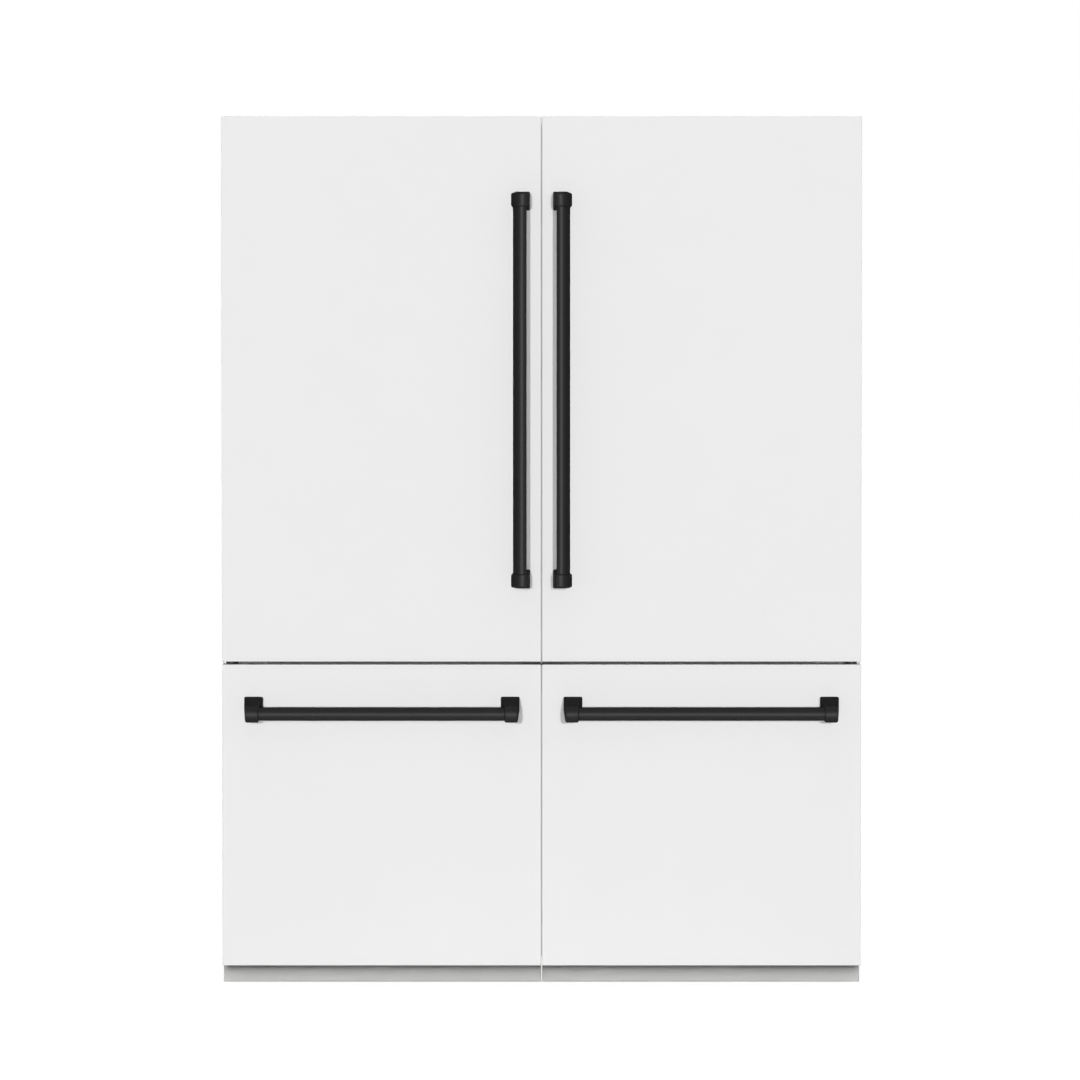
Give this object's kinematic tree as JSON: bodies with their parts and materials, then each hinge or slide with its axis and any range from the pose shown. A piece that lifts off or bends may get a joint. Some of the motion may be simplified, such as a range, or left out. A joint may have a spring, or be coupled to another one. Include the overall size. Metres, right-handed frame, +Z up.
{
  "type": "french door refrigerator",
  "caption": "Wide french door refrigerator: two tall hinged doors over two freezer drawers, bar handles, recessed base panel.",
  "frame": {"origin": "on the floor, under the middle of the whole part, handles included", "axes": "+Z up, the doors face -Y, +X to the right of someone facing the doors"},
  "size_m": [1.515, 0.7124, 2.06],
  "materials": {
    "white_panel": "smooth matte white enamel",
    "black_pull": "matte black powder coat",
    "stainless": "brushed",
    "grey_shell": "semi-gloss grey",
    "galvanised": "galvanised",
    "dark_steel": "satin dark grey",
    "liner": "glossy white liner with foam behind it",
    "gasket": "soft vinyl",
    "shelf_glass": "clear, toughened",
    "clear_plastic": "clear",
    "frosted_plastic": "frosted",
    "compressor_black": "gloss black",
    "aluminium_fin": "plain"
  },
  "bodies": {
    "cabinet": {"left_cabinet_shell": "grey_shell", "left_cabinet_liner": "liner", "left_base_frame": "galvanised", "left_base_panel": "stainless", "left_upper_hinge": "dark_steel", "left_lower_hinge": "dark_steel", "left_shelf_upper": "shelf_glass", "left_shelf_lower": "shelf_glass", "left_crisper_cover": "shelf_glass", "left_crisper_drawer": "clear_plastic", "left_compressor": "compressor_black", "left_condenser": "aluminium_fin", "left_machine_cover": "galvanised", "left_evaporator": "aluminium_fin", "left_freezer_back_panel": "liner", "left_slides_fixed": "galvanised", "right_cabinet_shell": "grey_shell", "right_cabinet_liner": "liner", "right_base_frame": "galvanised", "right_base_panel": "stainless", "right_upper_hinge": "dark_steel", "right_lower_hinge": "dark_steel", "right_shelf_upper": "shelf_glass", "right_shelf_lower": "shelf_glass", "right_crisper_cover": "shelf_glass", "right_crisper_drawer": "clear_plastic", "right_compressor": "compressor_black", "right_condenser": "aluminium_fin", "right_machine_cover": "galvanised", "right_evaporator": "aluminium_fin", "right_freezer_back_panel": "liner", "right_slides_fixed": "galvanised"},
    "left_door": {"left_door_panel": "white_panel", "left_door_liner": "liner", "left_door_gasket": "gasket", "left_bin_upper": "clear_plastic", "left_bin_middle": "clear_plastic", "left_bin_lower": "clear_plastic", "left_door_handle": "black_pull"},
    "left_drawer": {"left_drawer_panel": "white_panel", "left_drawer_liner": "liner", "left_drawer_gasket": "gasket", "left_drawer_handle": "black_pull", "left_slides_moving": "galvanised", "left_freezer_tub": "frosted_plastic"},
    "left_tray": {"left_freezer_tray": "frosted_plastic"},
    "right_door": {"right_door_panel": "white_panel", "right_door_liner": "liner", "right_door_gasket": "gasket", "right_bin_upper": "clear_plastic", "right_bin_middle": "clear_plastic", "right_bin_lower": "clear_plastic", "right_door_handle": "black_pull"},
    "right_drawer": {"right_drawer_panel": "white_panel", "right_drawer_liner": "liner", "right_drawer_gasket": "gasket", "right_drawer_handle": "black_pull", "right_slides_moving": "galvanised", "right_freezer_tub": "frosted_plastic"},
    "right_tray": {"right_freezer_tray": "frosted_plastic"}
  },
  "joints": [
    {"name": "left_door_swing", "type": "hinge", "parent": "cabinet", "child": "left_door", "pos_m": [-0.7355, -0.25125, 1.41], "axis": [0, 0, -1], "range_deg": [0, 110]},
    {"name": "left_drawer_slide", "type": "slide", "parent": "cabinet", "child": "left_drawer", "axis": [0, -1, 0], "range_m": [0, 0.4]},
    {"name": "left_tray_slide", "type": "slide", "parent": "left_drawer", "child": "left_tray", "axis": [0, 1, 0], "range_m": [0, 0.14]},
    {"name": "right_door_swing", "type": "hinge", "parent": "cabinet", "child": "right_door", "pos_m": [0.7355, -0.25125, 1.41], "axis": [0, 0, 1], "range_deg": [0, 110]},
    {"name": "right_drawer_slide", "type": "slide", "parent": "cabinet", "child": "right_drawer", "axis": [0, -1, 0], "range_m": [0, 0.4]},
    {"name": "right_tray_slide", "type": "slide", "parent": "right_drawer", "child": "right_tray", "axis": [0, 1, 0], "range_m": [0, 0.14]}
  ]
}
